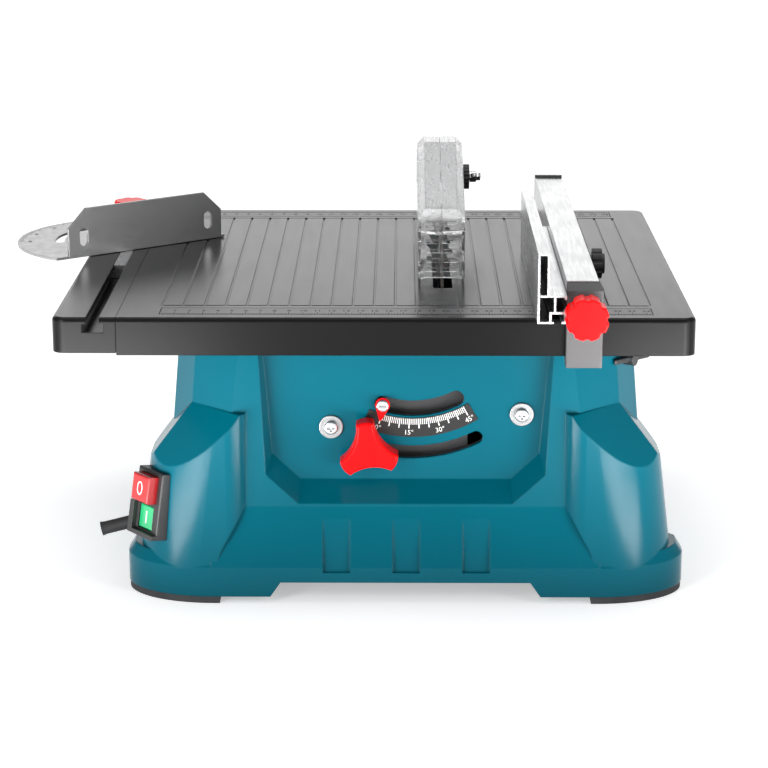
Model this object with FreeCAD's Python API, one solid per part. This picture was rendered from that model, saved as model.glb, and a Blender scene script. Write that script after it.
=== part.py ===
"""Bench-top wet tile cutter: a moulded plastic base carries a grooved steel table.

A motor carrier hangs under the table and tilts from 0 to 45 degrees, guided by two arc slots in
the front and rear walls. It holds the direct-drive motor, the diamond blade, the riving knife
and the clear guard. A rip fence and a mitre gauge slide on the table.

Units are millimetres, +Z is up and the front faces -Y. The parts are drawn about the middle of
the base, and moved at the end so that the origin is at the bottom centre of the whole machine.
"""
import FreeCAD
import Part
import math
import os

V = FreeCAD.Vector
X_AXIS, Y_AXIS, Z_AXIS = V(1, 0, 0), V(0, 1, 0), V(0, 0, 1)

# ---- driving dimensions ----
TABLE_TOP = 216.0          # height of the table's surface above the bench
TABLE_HALF_X = 201.3       # the main table is 402.6 wide
TABLE_HALF_Y = 199.0       # and 398 deep
TABLE_SKIN = 2.5           # sheet thickness of the table and its aprons
APRON_BOTTOM = 189.4
EXTENSION_WIDTH = 45.0     # cast side extension with the mitre slot
CORNER_R = 9.0
TOP_EDGE_R = 3.0           # rounding of the table's upper edges
GROOVE_PITCH = 15.0
GROOVE_COUNT = 24
GROOVE_FIELD_Y = 160.0     # half length of the drain grooves
BLADE_SLOT_WIDTH = 14.0

PIVOT_X, PIVOT_Z = 5.0, 207.5      # tilt axis, parallel to Y
TILT_START, TILT_END = -18.2, 26.8  # slot angles, from straight down towards +X
UPPER_SLOT_R, UPPER_SLOT_W = 69.1, 11.5
LOWER_SLOT_R, LOWER_SLOT_W = 101.7, 9.5

BLADE_X, BLADE_Y, BLADE_Z = 27.0, 5.0, 156.0
BLADE_R = 100.0
BORE_R = 12.7
MOTOR_R, MOTOR_LEFT, MOTOR_RIGHT = 45.0, -78.0, 10.0
SHAFT_R = 6.0
RUN_GAP = 0.05             # radial running clearance

PANEL_Y = 152.0            # front face of the recessed control panel
CAVITY_Y = 148.0           # inside of that wall
SKIRT_Z = 27.0             # top of the vertical skirt
FOOT_H = 5.2
HOUSING_TOP = 213.2

FENCE_X0, FENCE_X1 = 110.2, 132.8  # rail
FACE_X0, FACE_X1 = 89.8, 109.8     # L-shaped face extrusion
FENCE_BOTTOM = TABLE_TOP + 0.3
MITRE_X, MITRE_Y = -217.5, 62.0    # pivot of the mitre gauge
MITRE_ANGLE = 37.7                 # it is parked at this angle from square
MITRE_R = 90.0

nodes = {}


# ---- helpers ----
def box(x0, x1, y0, y1, z0, z1):
    return Part.makeBox(x1 - x0, y1 - y0, z1 - z0, V(x0, y0, z0))


def rod(start, axis, radius, length):
    return Part.makeCylinder(radius, length, start, axis)


def tube(start, axis, outer, inner, length):
    return rod(start, axis, outer, length).cut(rod(start, axis, inner, length))


def polygon(points):
    return Part.makePolygon(points + [points[0]])


def prism(points, direction):
    """The polygon's face, pushed along a vector."""
    return Part.Face(polygon(points)).extrude(direction)


def prism_y(xz, y0, y1):
    return prism([V(x, y0, z) for x, z in xz], V(0, y1 - y0, 0))


def prism_x(yz, x0, x1):
    return prism([V(x0, y, z) for y, z in yz], V(x1 - x0, 0, 0))


def fuse(shapes):
    first, rest = shapes[0], shapes[1:]
    return first.fuse(rest).removeSplitter() if rest else first


def mirrored(shape, normal):
    return shape.mirror(V(0, 0, 0), normal)


def four_ways(shape):
    """A front-left shape and its copies at the other three corners."""
    pair = [shape, mirrored(shape, X_AXIS)]
    return pair + [mirrored(s, Y_AXIS) for s in pair]


def rounded_wire(points, radii, z):
    """A closed outline at height z. Each corner takes its radius, or stays sharp at 0."""
    edges, count = [], len(points)
    ends = []
    for i, (point, radius) in enumerate(zip(points, radii)):
        corner = V(point[0], point[1], z)
        before = V(points[i - 1][0], points[i - 1][1], z)
        after = V(points[(i + 1) % count][0], points[(i + 1) % count][1], z)
        if radius <= 0:
            ends.append((corner, corner, None))
            continue
        back, on = (before - corner).normalize(), (after - corner).normalize()
        half = back.getAngle(on) / 2
        run = radius / math.tan(half)
        middle = (back + on).normalize()
        centre = corner + middle * (radius / math.sin(half))
        ends.append((corner + back * run, corner + on * run, centre - middle * radius))
    for i, (start, end, mid) in enumerate(ends):
        if mid is not None:
            edges.append(Part.Arc(start, mid, end).toShape())
        edges.append(Part.LineSegment(end, ends[(i + 1) % count][0]).toShape())
    return Part.Wire(edges)


def loft(wires):
    return Part.makeLoft(wires, True, True)


def about_pivot(radius, angle, y):
    """A point at that radius and angle from the tilt axis. Angle 0 is straight down."""
    a = math.radians(angle)
    return V(PIVOT_X + radius * math.sin(a), y, PIVOT_Z - radius * math.cos(a))


def arc_slot(radius, width, a0, a1, y0, y1):
    """A round-ended slot that bends about the tilt axis, cut along Y."""
    half = width / 2
    mid = (a0 + a1) / 2
    cap = math.degrees(half / radius)
    outer, inner = radius + half, radius - half
    edges = [
        Part.Arc(about_pivot(outer, a0, y0), about_pivot(outer, mid, y0), about_pivot(outer, a1, y0)),
        Part.Arc(about_pivot(outer, a1, y0), about_pivot(radius, a1 + cap, y0), about_pivot(inner, a1, y0)),
        Part.Arc(about_pivot(inner, a1, y0), about_pivot(inner, mid, y0), about_pivot(inner, a0, y0)),
        Part.Arc(about_pivot(inner, a0, y0), about_pivot(radius, a0 - cap, y0), about_pivot(outer, a0, y0)),
    ]
    face = Part.Face(Part.Wire([e.toShape() for e in edges]))
    return face.extrude(V(0, y1 - y0, 0))


def tilt_slots(y0, y1):
    return [
        arc_slot(UPPER_SLOT_R, UPPER_SLOT_W, TILT_START, TILT_END, y0, y1),
        arc_slot(LOWER_SLOT_R, LOWER_SLOT_W, TILT_START, TILT_END, y0, y1),
    ]


def hexagon(centre, axis, flats, length):
    """A hexagonal bolt head or nut."""
    radius = flats / math.sqrt(3)
    side = V(0, 0, 1) if abs(axis.z) < 0.5 else V(1, 0, 0)
    other = axis.cross(side)
    points = []
    for k in range(6):
        a = math.radians(60 * k)
        points.append(centre + side * (radius * math.cos(a)) + other * (radius * math.sin(a)))
    return prism(points, axis * length)


def chamfer_some(shape, size, keep):
    return shape.makeChamfer(size, [e for e in shape.Edges if keep(e)])


def fillet_some(shape, radius, keep):
    return shape.makeFillet(radius, [e for e in shape.Edges if keep(e)])


def is_upright(edge):
    return abs(edge.tangentAt(edge.FirstParameter).z) > 0.9


# ---- base housing ----
def ring12(front, corner, side):
    """A twelve-sided outline from its three front-left points, given as positive numbers."""
    quarter = [front, corner, side]
    left = [(-x, -y) for x, y in quarter]
    right = [(x, -y) for x, y in reversed(quarter)]
    back_right = [(x, y) for x, y in quarter]
    back_left = [(-x, y) for x, y in reversed(quarter)]
    return left[::-1] + right[::-1] + back_right[::-1] + back_left[::-1]


def plain_wire(points, z):
    return polygon([V(x, y, z) for x, y in points])


def plinth_outline(grow, z, x_in, y_in):
    """Front-left plinth outline: an elliptical outer corner on a rectangle."""
    ax, ay = 65.5 + grow, 45.0 + grow
    cx, cy = -138.0, -136.0
    ellipse = Part.Ellipse(V(cx, cy, z), ax, ay)
    arc = Part.ArcOfEllipse(ellipse, math.pi, 1.5 * math.pi).toShape()
    left, front = cx - ax, cy - ay
    lines = [
        (V(cx, front, z), V(x_in, front, z)),
        (V(x_in, front, z), V(x_in, y_in, z)),
        (V(x_in, y_in, z), V(left + 14, y_in, z)),
        (V(left + 14, y_in, z), V(left, y_in - 18, z)),
        (V(left, y_in - 18, z), V(left, cy, z)),
    ]
    return Part.Wire([arc] + [Part.LineSegment(a, b).toShape() for a, b in lines])


def tower(shrink, bottom, top):
    """The front-left corner tower, leaning in as it rises, before its top is cut off."""
    def outline(z):
        lean = max(0.0, (z - SKIRT_Z) / 120.0)
        x_out, y_out = -195.0 + 15.0 * lean + shrink, -180.0 + 4.0 * lean + shrink
        x_in, y_in = -113.5 - shrink, -95.0 - 3.4 * shrink
        points = [(x_out, y_out), (x_in, y_out), (x_in, y_in), (x_out, y_in)]
        return rounded_wire(points, [46.0 - shrink, 15.0 - shrink / 2, 0, 14.0 - shrink], z)
    return loft([outline(bottom), outline(top)])


def above_plane(x0, y0, z0, slope_x, slope_y):
    """Everything above a sloping plane through one point, over the front-left corner."""
    corners = [(-230, -220), (-60, -220), (-60, -40), (-230, -40)]
    low = [V(x, y, z0 + slope_x * (x - x0) + slope_y * (y - y0)) for x, y in corners]
    return prism(low, V(0, 0, 400))


def tower_cuts(lift, inward):
    """Shapes a tower's top, which falls to the front and outwards, and its inner foot."""
    front_slope = above_plane(-114.4, -176.2, 138.6 + lift, 0.861, 0.856)
    outer_slope = above_plane(-154.7, -135.7, 139.0 + lift, 1.269, -0.0134)
    i = inward
    foot = prism_y([(-113.4 - i, 74), (-132 - i, 40), (-139 - i, 20), (-100, 20), (-100, 74)], -195, -150)
    return [front_slope, outer_slope, foot]


def base_body():
    shell = loft([
        plain_wire(ring12((140, 181), (168, 150), (190, 118)), FOOT_H),
        plain_wire(ring12((140, 181), (168, 150), (190, 118)), SKIRT_Z),
        plain_wire(ring12((133, 170), (160, 140), (175, 112)), 70.0),
        plain_wire(ring12((115, 160), (149, 131), (163, 105)), HOUSING_TOP),
    ])
    corner = tower(0, SKIRT_Z - 2, 138.6).cut(tower_cuts(0, 0))
    plinth = Part.Face(plinth_outline(0, FOOT_H, -123, -108)).extrude(V(0, 0, SKIRT_Z - FOOT_H))
    ledge = loft([plinth_outline(0, SKIRT_Z, -123, -108), plinth_outline(-5, 34.5, -123, -108)])
    for lump in four_ways(corner) + four_ways(plinth.fuse(ledge)):
        shell = shell.fuse(lump)
    return shell


def panel_recess():
    """The sunken control panel: a pocket with sloping walls, cut in from the front."""
    def wire(y, half_top, half_mid, half_low, z_mid, z_low):
        points = [
            V(-half_top, y, 230), V(-half_mid, y, z_mid), V(-half_low, y, z_low),
            V(half_low, y, z_low), V(half_mid, y, z_mid), V(half_top, y, 230),
        ]
        return polygon(points)
    outer = wire(-188, 113, 104.5, 78, 79, 58.5)
    inner = wire(-PANEL_Y, 107, 96.5, 76, 105, 85.5)
    return loft([outer, inner])


def rib_pockets():
    """Three upright pockets under the panel, which fade out as the wall leans back."""
    side = [(-190, 23.5), (-178.6, 23.5), (-171.9, 63), (-190, 63)]
    return [prism_x(side, c - 9.7, c + 9.7) for c in (-49.6, 0.6, 50.8)]


def arches():
    """Cut-outs under the skirt between the feet."""
    front = prism_y([(-101, 0), (-90, 16), (90, 16), (101, 0)], -200, -150)
    side = prism_x([(-71, 0), (-60, 16), (60, 16), (71, 0)], -210, -150)
    return [front, mirrored(front, Y_AXIS), side, mirrored(side, X_AXIS)]


def cavity():
    """The hollow inside, open at the bottom and the top, with a pocket in each tower."""
    hollow = loft([
        plain_wire(ring12((136, 175), (164, 146), (186, 115)), -1),
        plain_wire(ring12((136, 175), (164, 146), (186, 115)), SKIRT_Z),
        plain_wire(ring12((130, 167), (157, 138), (173, 109)), 57),
        plain_wire(ring12((119, CAVITY_Y), (147, 130), (167, 106)), 76),
        plain_wire(ring12((107, CAVITY_Y), (141, 127), (158, 102)), HOUSING_TOP + 5),
    ])
    pocket = tower(5, -1, 132).cut(tower_cuts(-6, 5))
    return [hollow] + four_ways(pocket)


def vents():
    """Cooling slots in the left side wall, beside the motor."""
    return [box(-200, -150, y - 2.5, y + 2.5, 118, 168) for y in range(-60, 61, 15)]


def make_housing(switch_hole):
    recess = panel_recess()
    tools = [recess, mirrored(recess, Y_AXIS)] + arches() + cavity() + vents()
    tools += rib_pockets() + [mirrored(p, Y_AXIS) for p in rib_pockets()]
    tools += tilt_slots(-PANEL_Y - 20, -CAVITY_Y + 20) + tilt_slots(CAVITY_Y - 20, PANEL_Y + 20)
    for x, z in TRUNNION_SCREWS:
        tools.append(rod(V(x, -220, z), Y_AXIS, 3.2, 440))
    tools.append(switch_hole)
    tools.append(sleeve_rod(5.0, 60))
    tools.append(rod(WING_AT - WING_AXIS * 30, WING_AXIS, 3.2, 40))
    body = base_body().cut(tools)
    solids = sorted(body.Solids, key=lambda s: s.Volume)
    return solids[-1]


# ---- places of fixed fittings ----
TRUNNION_SCREWS = [(-53.7, 124.7), (83.4, 134.2)]
SWITCH_AT = V(-186.5, -162.0, 70.0)
SWITCH_TURN = 38.7          # it faces left, turned this far to the front
SWITCH_LEAN = 9.4
SWITCH_W, SWITCH_H, SWITCH_DEPTH = 32.0, 48.5, 22.0
SLEEVE_ROOT = V(-186.0, -128.0, 49.0)
SLEEVE_END = V(-224.0, -131.0, 40.0)
SLEEVE_R = 4.8
EXTENSION_SCREW_YS, EXTENSION_SCREW_Z = (-120, 0, 120), 202.0
WING_AT = V(153.5, -120.0, 169.0)
WING_AXIS = V(0.86, -0.51, 0).normalize()


def switch_place(shape):
    """Moves a shape drawn with its face at x=0, looking along -X, to the switch's place."""
    placed = shape.copy()
    placed.rotate(V(0, 0, 0), Y_AXIS, SWITCH_LEAN)
    placed.rotate(V(0, 0, 0), Z_AXIS, SWITCH_TURN)
    placed.translate(SWITCH_AT)
    return placed


def sleeve_rod(radius, length):
    axis = (SLEEVE_END - SLEEVE_ROOT).normalize()
    return rod(SLEEVE_ROOT - axis * 20, axis, radius, length)


def make_switch():
    half_w, half_h = SWITCH_W / 2, SWITCH_H / 2
    body = box(0, SWITCH_DEPTH, -half_w, half_w, -half_h, half_h)
    body = fillet_some(body, 1.5, lambda e: abs(e.CenterOfMass.x) < 0.01)
    shroud_side = box(-4.0, 1.0, 11.0, half_w, -half_h, -0.5)
    shroud = shroud_side.fuse(box(-4.0, 1.0, -half_w, half_w, -half_h, -21.0))
    stop_well = box(-1, 12, -11.0, 11.0, 1.0, 21.5)
    start_well = box(-1, 12, -9.0, 9.0, -19.5, -1.5)
    body = fuse([body, shroud]).cut([stop_well, start_well])
    stop = box(-8.0, 6.0, -10.6, 10.6, 1.4, 21.1)
    stop = fillet_some(stop, 1.6, lambda e: e.CenterOfMass.x < -7.9)
    start = box(0.5, 8.5, -8.6, 8.6, -19.1, -1.9)
    start = fillet_some(start, 1.0, lambda e: e.CenterOfMass.x < 0.6)
    nodes["switch_body"] = switch_place(body)
    nodes["stop_button"] = switch_place(stop)
    nodes["start_button"] = switch_place(start)
    wide, high = half_w + 0.2, half_h + 0.2
    return switch_place(box(-30, SWITCH_DEPTH + 12, -wide, wide, -high, high))


def make_sleeve():
    axis = (SLEEVE_END - SLEEVE_ROOT).normalize()
    length = (SLEEVE_END - SLEEVE_ROOT).Length
    body = rod(SLEEVE_ROOT - axis * 8, axis, SLEEVE_R, length + 8)
    flare = Part.makeCone(SLEEVE_R, SLEEVE_R + 0.5, 3.0, SLEEVE_END - axis * 3.0, axis)
    collar = rod(SLEEVE_ROOT - axis * 8, axis, 6.6, 4.0)
    bore = rod(SLEEVE_ROOT - axis * 10, axis, 3.6, length + 20)
    nodes["cord_sleeve"] = fuse([body, flare, collar]).cut(bore)


def make_feet():
    names = ["foot_front_left", "foot_front_right", "foot_rear_left", "foot_rear_right"]
    pad = Part.Face(plinth_outline(-0.6, 0, -134, -105)).extrude(V(0, 0, FOOT_H))
    hole = rod(V(-160, -138, -1), Z_AXIS, 5.2, 4.0)
    stem = rod(V(-160, -138, -1), Z_AXIS, 2.2, 10)
    pad = pad.cut([hole, stem])
    for name, shape in zip(names, four_ways(pad)):
        nodes[name] = shape
    head = rod(V(-160, -138, 1.2), Z_AXIS, 4.4, 1.8)
    shank = rod(V(-160, -138, 1.2), Z_AXIS, 2.0, 3.9)
    nodes["foot_screws"] = Part.Compound(four_ways(fuse([head, shank])))


# ---- table ----
def make_table():
    top, half_x, half_y = TABLE_TOP, TABLE_HALF_X, TABLE_HALF_Y
    blank = box(-half_x, half_x, -half_y, half_y, APRON_BOTTOM, top)
    blank = fillet_some(blank, CORNER_R, lambda e: is_upright(e) and e.CenterOfMass.x > 0)
    blank = fillet_some(blank, TOP_EDGE_R,
                        lambda e: e.CenterOfMass.z > top - 0.01 and e.CenterOfMass.x > -half_x + 1)
    skin = TABLE_SKIN
    inside = box(-half_x + skin, half_x - skin, -half_y + skin, half_y - skin, APRON_BOTTOM - 1, top - skin)
    inside = fillet_some(inside, CORNER_R - skin, lambda e: is_upright(e) and e.CenterOfMass.x > 0)
    table = blank.cut(inside)
    first = -GROOVE_PITCH * (GROOVE_COUNT - 1) / 2
    reach = -first
    depth, width = 0.8, 1.6
    grooves = []
    for k in range(GROOVE_COUNT):
        x = first + GROOVE_PITCH * k
        if abs(x - BLADE_X) < GROOVE_PITCH / 2:
            continue
        x0, x1 = x - width / 2, x + width / 2
        grooves.append(box(x0, x1, -GROOVE_FIELD_Y, GROOVE_FIELD_Y, top - depth, top + 1))
        grooves.append(rod(V(x, GROOVE_FIELD_Y, top - 5), Z_AXIS, 1.6, 10))
    for y in (-GROOVE_FIELD_Y, GROOVE_FIELD_Y):
        grooves.append(box(-reach, reach, y - width / 2, y + width / 2, top - depth, top + 1))
    half_slot = BLADE_SLOT_WIDTH / 2
    grooves.append(box(BLADE_X - half_slot, BLADE_X + half_slot, -104, 132, top - 10, top + 1))
    side_holes = [rod(V(-190, y, EXTENSION_SCREW_Z), V(-1, 0, 0), 2.1, 20) for y in EXTENSION_SCREW_YS]
    table = table.cut(grooves + side_holes)
    boss_height = top - skin - HOUSING_TOP
    bosses = [rod(V(x, y, HOUSING_TOP), Z_AXIS, 6, boss_height) for x in (-152, 152) for y in (-100, 100)]
    nodes["table_top"] = fuse([table] + bosses)

    left = -half_x - EXTENSION_WIDTH
    right = -half_x - 0.3
    bottom = APRON_BOTTOM + 1.5
    side = box(left, right, -half_y, half_y, bottom, top)
    side = fillet_some(side, CORNER_R, lambda e: is_upright(e) and e.CenterOfMass.x < left + 1)
    side = fillet_some(side, TOP_EDGE_R,
                       lambda e: e.CenterOfMass.z > top - 0.01 and e.CenterOfMass.x < right - 1)
    neck = box(MITRE_X - 4.8, MITRE_X + 4.8, -300, 300, top - 6, top + 1)
    wide = box(MITRE_X - 7.6, MITRE_X + 7.6, -300, 300, top - 10.4, top - 4.4)
    hollow = box(left + 3, right - 3, -half_y + 5, half_y - 5, bottom - 1, bottom + 8)
    nodes["side_extension"] = side.cut([neck, wide, hollow] + side_holes)

    screws = []
    for x in (-152, 152):
        for y in (-100, 100):
            shank = rod(V(x, y, 196), Z_AXIS, 3, 17)
            screws.append(fuse([shank, hexagon(V(x, y, 192), Z_AXIS, 10, 4)]))
    for y in EXTENSION_SCREW_YS:
        head = rod(V(-half_x + skin + 2.1, y, EXTENSION_SCREW_Z), V(-1, 0, 0), 4.5, 2.1)
        shank = rod(V(-half_x + skin + 0.1, y, EXTENSION_SCREW_Z), V(-1, 0, 0), 2.0, 5.7)
        screws.append(fuse([head, shank]))
    nodes["table_screws"] = Part.Compound(screws)


# ---- trunnions, scale and front fittings ----
def trunnion_plate(y0, y1):
    outline = [(-72, 188), (-72, 98), (-40, 92), (70, 92), (100, 118), (100, 170), (84, 188)]
    plate = prism_y(outline, y0, y1)
    tools = tilt_slots(y0 - 1, y1 + 1)
    tools += [rod(V(x, y0 - 1, z), Y_AXIS, 2.6, y1 - y0 + 2) for x, z in TRUNNION_SCREWS]
    return plate.cut(tools)


def make_trunnions():
    nodes["front_trunnion_plate"] = trunnion_plate(-147.7, -144.7)
    nodes["rear_trunnion_plate"] = trunnion_plate(144.7, 147.7)
    screws, washers = [], []
    for side, normal in ((-1, V(0, -1, 0)), (1, V(0, 1, 0))):
        for x, z in TRUNNION_SCREWS:
            face = V(x, side * PANEL_Y, z)
            washer = tube(face, normal, 8.75, 3.1, 1.6)
            outside = PANEL_Y + 1.6
            rim = [e for e in washer.Edges if abs(e.CenterOfMass.y) > outside - 0.01 and e.Length > 40]
            washers.append(washer.makeFillet(0.7, rim))
            head = rod(face + normal * 1.6, normal, 5.0, 3.4)
            head = fillet_some(head, 1.5, lambda e: abs(e.CenterOfMass.y) > PANEL_Y + 4.99)
            cross = [
                box(x - 2.6, x + 2.6, -1.6, 1.6, z - 0.7, z + 0.7),
                box(x - 0.7, x + 0.7, -1.6, 1.6, z - 2.6, z + 2.6),
            ]
            for arm in cross:
                arm.translate(V(0, side * (PANEL_Y + 5.0), 0))
            shank = rod(face + normal * 1.6, normal * -1, 2.5, 10.0)
            screws.append(fuse([head, shank]).cut(cross))
    nodes["trunnion_screws"] = Part.Compound(screws)
    nodes["trunnion_washers"] = Part.Compound(washers)
    scale = sector(76.2, 90.2, -24, 31.5, -PANEL_Y - 0.8, -PANEL_Y)
    nodes["angle_scale"] = scale


def sector(r0, r1, a0, a1, y0, y1):
    mid = (a0 + a1) / 2
    edges = [
        Part.Arc(about_pivot(r1, a0, y0), about_pivot(r1, mid, y0), about_pivot(r1, a1, y0)).toShape(),
        Part.LineSegment(about_pivot(r1, a1, y0), about_pivot(r0, a1, y0)).toShape(),
        Part.Arc(about_pivot(r0, a1, y0), about_pivot(r0, mid, y0), about_pivot(r0, a0, y0)).toShape(),
        Part.LineSegment(about_pivot(r0, a0, y0), about_pivot(r1, a0, y0)).toShape(),
    ]
    return Part.Face(Part.Wire(edges)).extrude(V(0, y1 - y0, 0))


def make_side_fittings():
    stud = rod(WING_AT - WING_AXIS * 14, WING_AXIS, 3.0, 22)
    hub = rod(WING_AT + WING_AXIS * 7, WING_AXIS, 5.0, 8)
    wing = box(0, 18, -1.2, 1.2, -2.0, 2.0)
    wing = fillet_some(wing, 1.0, lambda e: True)
    ears = []
    for turn in (0, 180):
        ear = wing.copy()
        ear.rotate(V(0, 0, 0), Z_AXIS, turn + math.degrees(math.atan2(WING_AXIS.y, WING_AXIS.x)) + 72)
        ear.translate(WING_AT + WING_AXIS * 12)
        ears.append(ear)
    nodes["side_wing_screw"] = fuse([stud, hub] + ears)
    body = rod(V(-128, 30, 70), Y_AXIS, 17.5, 62)
    body = fillet_some(body, 2.0, lambda e: e.Length > 80)
    strap = tube(V(-128, 50, 70), Y_AXIS, 19.3, 17.5, 12)
    leg = box(-151, -143, 50, 62, 60, 80)
    clip = fuse([strap, leg]).cut(rod(V(-128, 20, 70), Y_AXIS, 17.5, 80))
    nodes["run_capacitor"] = body
    nodes["capacitor_clip"] = clip


def make_tray():
    outer = box(-64, 132, -118, 118, 12, 72)
    outer = fillet_some(outer, 10, is_upright)
    outer = fillet_some(outer, 4, lambda e: e.CenterOfMass.z < 12.01)
    inner = box(-61.5, 129.5, -115.5, 115.5, 14.5, 73)
    inner = fillet_some(inner, 7.5, is_upright)
    rim = box(-69, 137, -123, 123, 70, 72).cut(box(-62, 130, -116, 116, 69, 73))
    legs = [box(x, x + 6, y, y + 30, 0, 16) for x in (-40, 100) for y in (-90, 60)]
    hole = rod(V(80, 80, 5), Z_AXIS, 8.0, 12)
    nodes["water_tray"] = fuse([outer.cut(inner), rim] + legs).cut(hole)
    plug = fuse([rod(V(80, 80, 10.5), Z_AXIS, 7.9, 5.0), rod(V(80, 80, 9.0), Z_AXIS, 11.0, 3.0)])
    nodes["drain_plug"] = plug


# ---- carrier: everything that tilts ----
WEB_X0, WEB_X1 = 10.0, 13.0
FLANGE_Y = 141.0


def make_carrier():
    flange = [(-40, 198), (-40, 98), (45, 98), (45, 160), (WEB_X1, 194), (WEB_X1, 198)]
    front = prism_y(flange, -FLANGE_Y, -FLANGE_Y + 3)
    rear = prism_y(flange, FLANGE_Y - 3, FLANGE_Y)
    web = box(WEB_X0, WEB_X1, -FLANGE_Y, FLANGE_Y, 100, 198)
    frame = fuse([front, rear, web])
    pointer = about_pivot(UPPER_SLOT_R, TILT_START, 0)
    clamp = about_pivot(LOWER_SLOT_R, TILT_START, 0)
    holes = [rod(V(p.x, -160, p.z), Y_AXIS, 3.0, 320) for p in (pointer, clamp)]
    holes.append(rod(V(0, BLADE_Y, BLADE_Z), X_AXIS, 16, 30))
    windows = [box(0, 30, y0, y1, 118, 180) for y0, y1 in ((-120, -62), (70, 100))]
    nodes["carrier_frame"] = frame.cut(holes + windows)

    # Guide bolts: the pointer screw and the clamp bolt in front, two plain bolts behind.
    shank = rod(V(pointer.x, -156.6, pointer.z), Y_AXIS, 2.9, 18.6)
    head = rod(V(pointer.x, -159.4, pointer.z), Y_AXIS, 4.4, 2.8)
    head = fillet_some(head, 1.2, lambda e: e.CenterOfMass.y < -159.3)
    slot = box(pointer.x - 3, pointer.x + 3, -160, -158.4, pointer.z - 0.6, pointer.z + 0.6)
    nodes["pointer_screw"] = fuse([shank, head]).cut(slot)
    bolts = []
    bolt = rod(V(clamp.x, -170, clamp.z), Y_AXIS, 3.0, 32)
    bolts.append(fuse([bolt, hexagon(V(clamp.x, -138, clamp.z), Y_AXIS, 10, 4)]))
    for p in (pointer, clamp):
        shaft = rod(V(p.x, 134, p.z), Y_AXIS, 3.0, 20)
        outer_nut = hexagon(V(p.x, 152.4, p.z), Y_AXIS, 13, 4)
        inner_head = hexagon(V(p.x, 133, p.z), Y_AXIS, 10, 4)
        bolts.append(fuse([shaft, outer_nut, inner_head]))
    nodes["guide_bolts"] = Part.Compound(bolts)

    # The pointer is a flat tear-drop held by the screw, with its tip on the scale.
    y0, y1 = -156.6, -154.2
    tip = about_pivot(UPPER_SLOT_R + 11.4, TILT_START + 1.4, 0)
    disc = rod(V(pointer.x, y0, pointer.z), Y_AXIS, 5.2, y1 - y0)
    left, right, low = pointer.x - 4.9, pointer.x + 4.9, pointer.z - 1.7
    nose = prism_y([(left, low), (right, low), (tip.x + 0.7, tip.z), (tip.x - 0.7, tip.z)], y0, y1)
    nodes["tilt_pointer"] = fuse([disc, nose]).cut(rod(V(pointer.x, -160, pointer.z), Y_AXIS, 2.9, 10))


def make_tilt_knob():
    """Three-armed clamp knob with concave sides."""
    clamp = about_pivot(LOWER_SLOT_R, TILT_START, 0)
    tip_r, tip_half, waist_r, turn = 20.5, 6.3, 11.7, 97
    outline = []
    for k in range(3):
        a = math.radians(turn + 120 * k)
        out = (math.cos(a), math.sin(a))
        side = (-math.sin(a), math.cos(a))
        for s in (-1, 1):
            half = tip_half * s
            outline.append((out[0] * tip_r + side[0] * half, out[1] * tip_r + side[1] * half))
    y_back, y_front = -157.0, -172.0
    edges = []
    for k in range(6):
        p, q = outline[k], outline[(k + 1) % 6]
        start = V(clamp.x + p[0], y_back, clamp.z + p[1])
        end = V(clamp.x + q[0], y_back, clamp.z + q[1])
        a = math.radians(turn + 60 * k)
        middle_r = waist_r if k % 2 else tip_r + 1.6
        mid = V(clamp.x + middle_r * math.cos(a), y_back, clamp.z + middle_r * math.sin(a))
        edges.append(Part.Arc(start, mid, end).toShape())
    star = Part.Face(Part.Wire(edges)).extrude(V(0, y_front - y_back, 0))
    star = fillet_some(star, 2.4, lambda e: e.CenterOfMass.y < y_front + 0.01)
    hub = rod(V(clamp.x, -152.4, clamp.z), V(0, -1, 0), 8.0, 6.0)
    bore = rod(V(clamp.x, -151, clamp.z), V(0, -1, 0), 3.0 + RUN_GAP, 19.4)
    nodes["tilt_knob"] = fuse([star, hub]).cut(bore)


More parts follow.
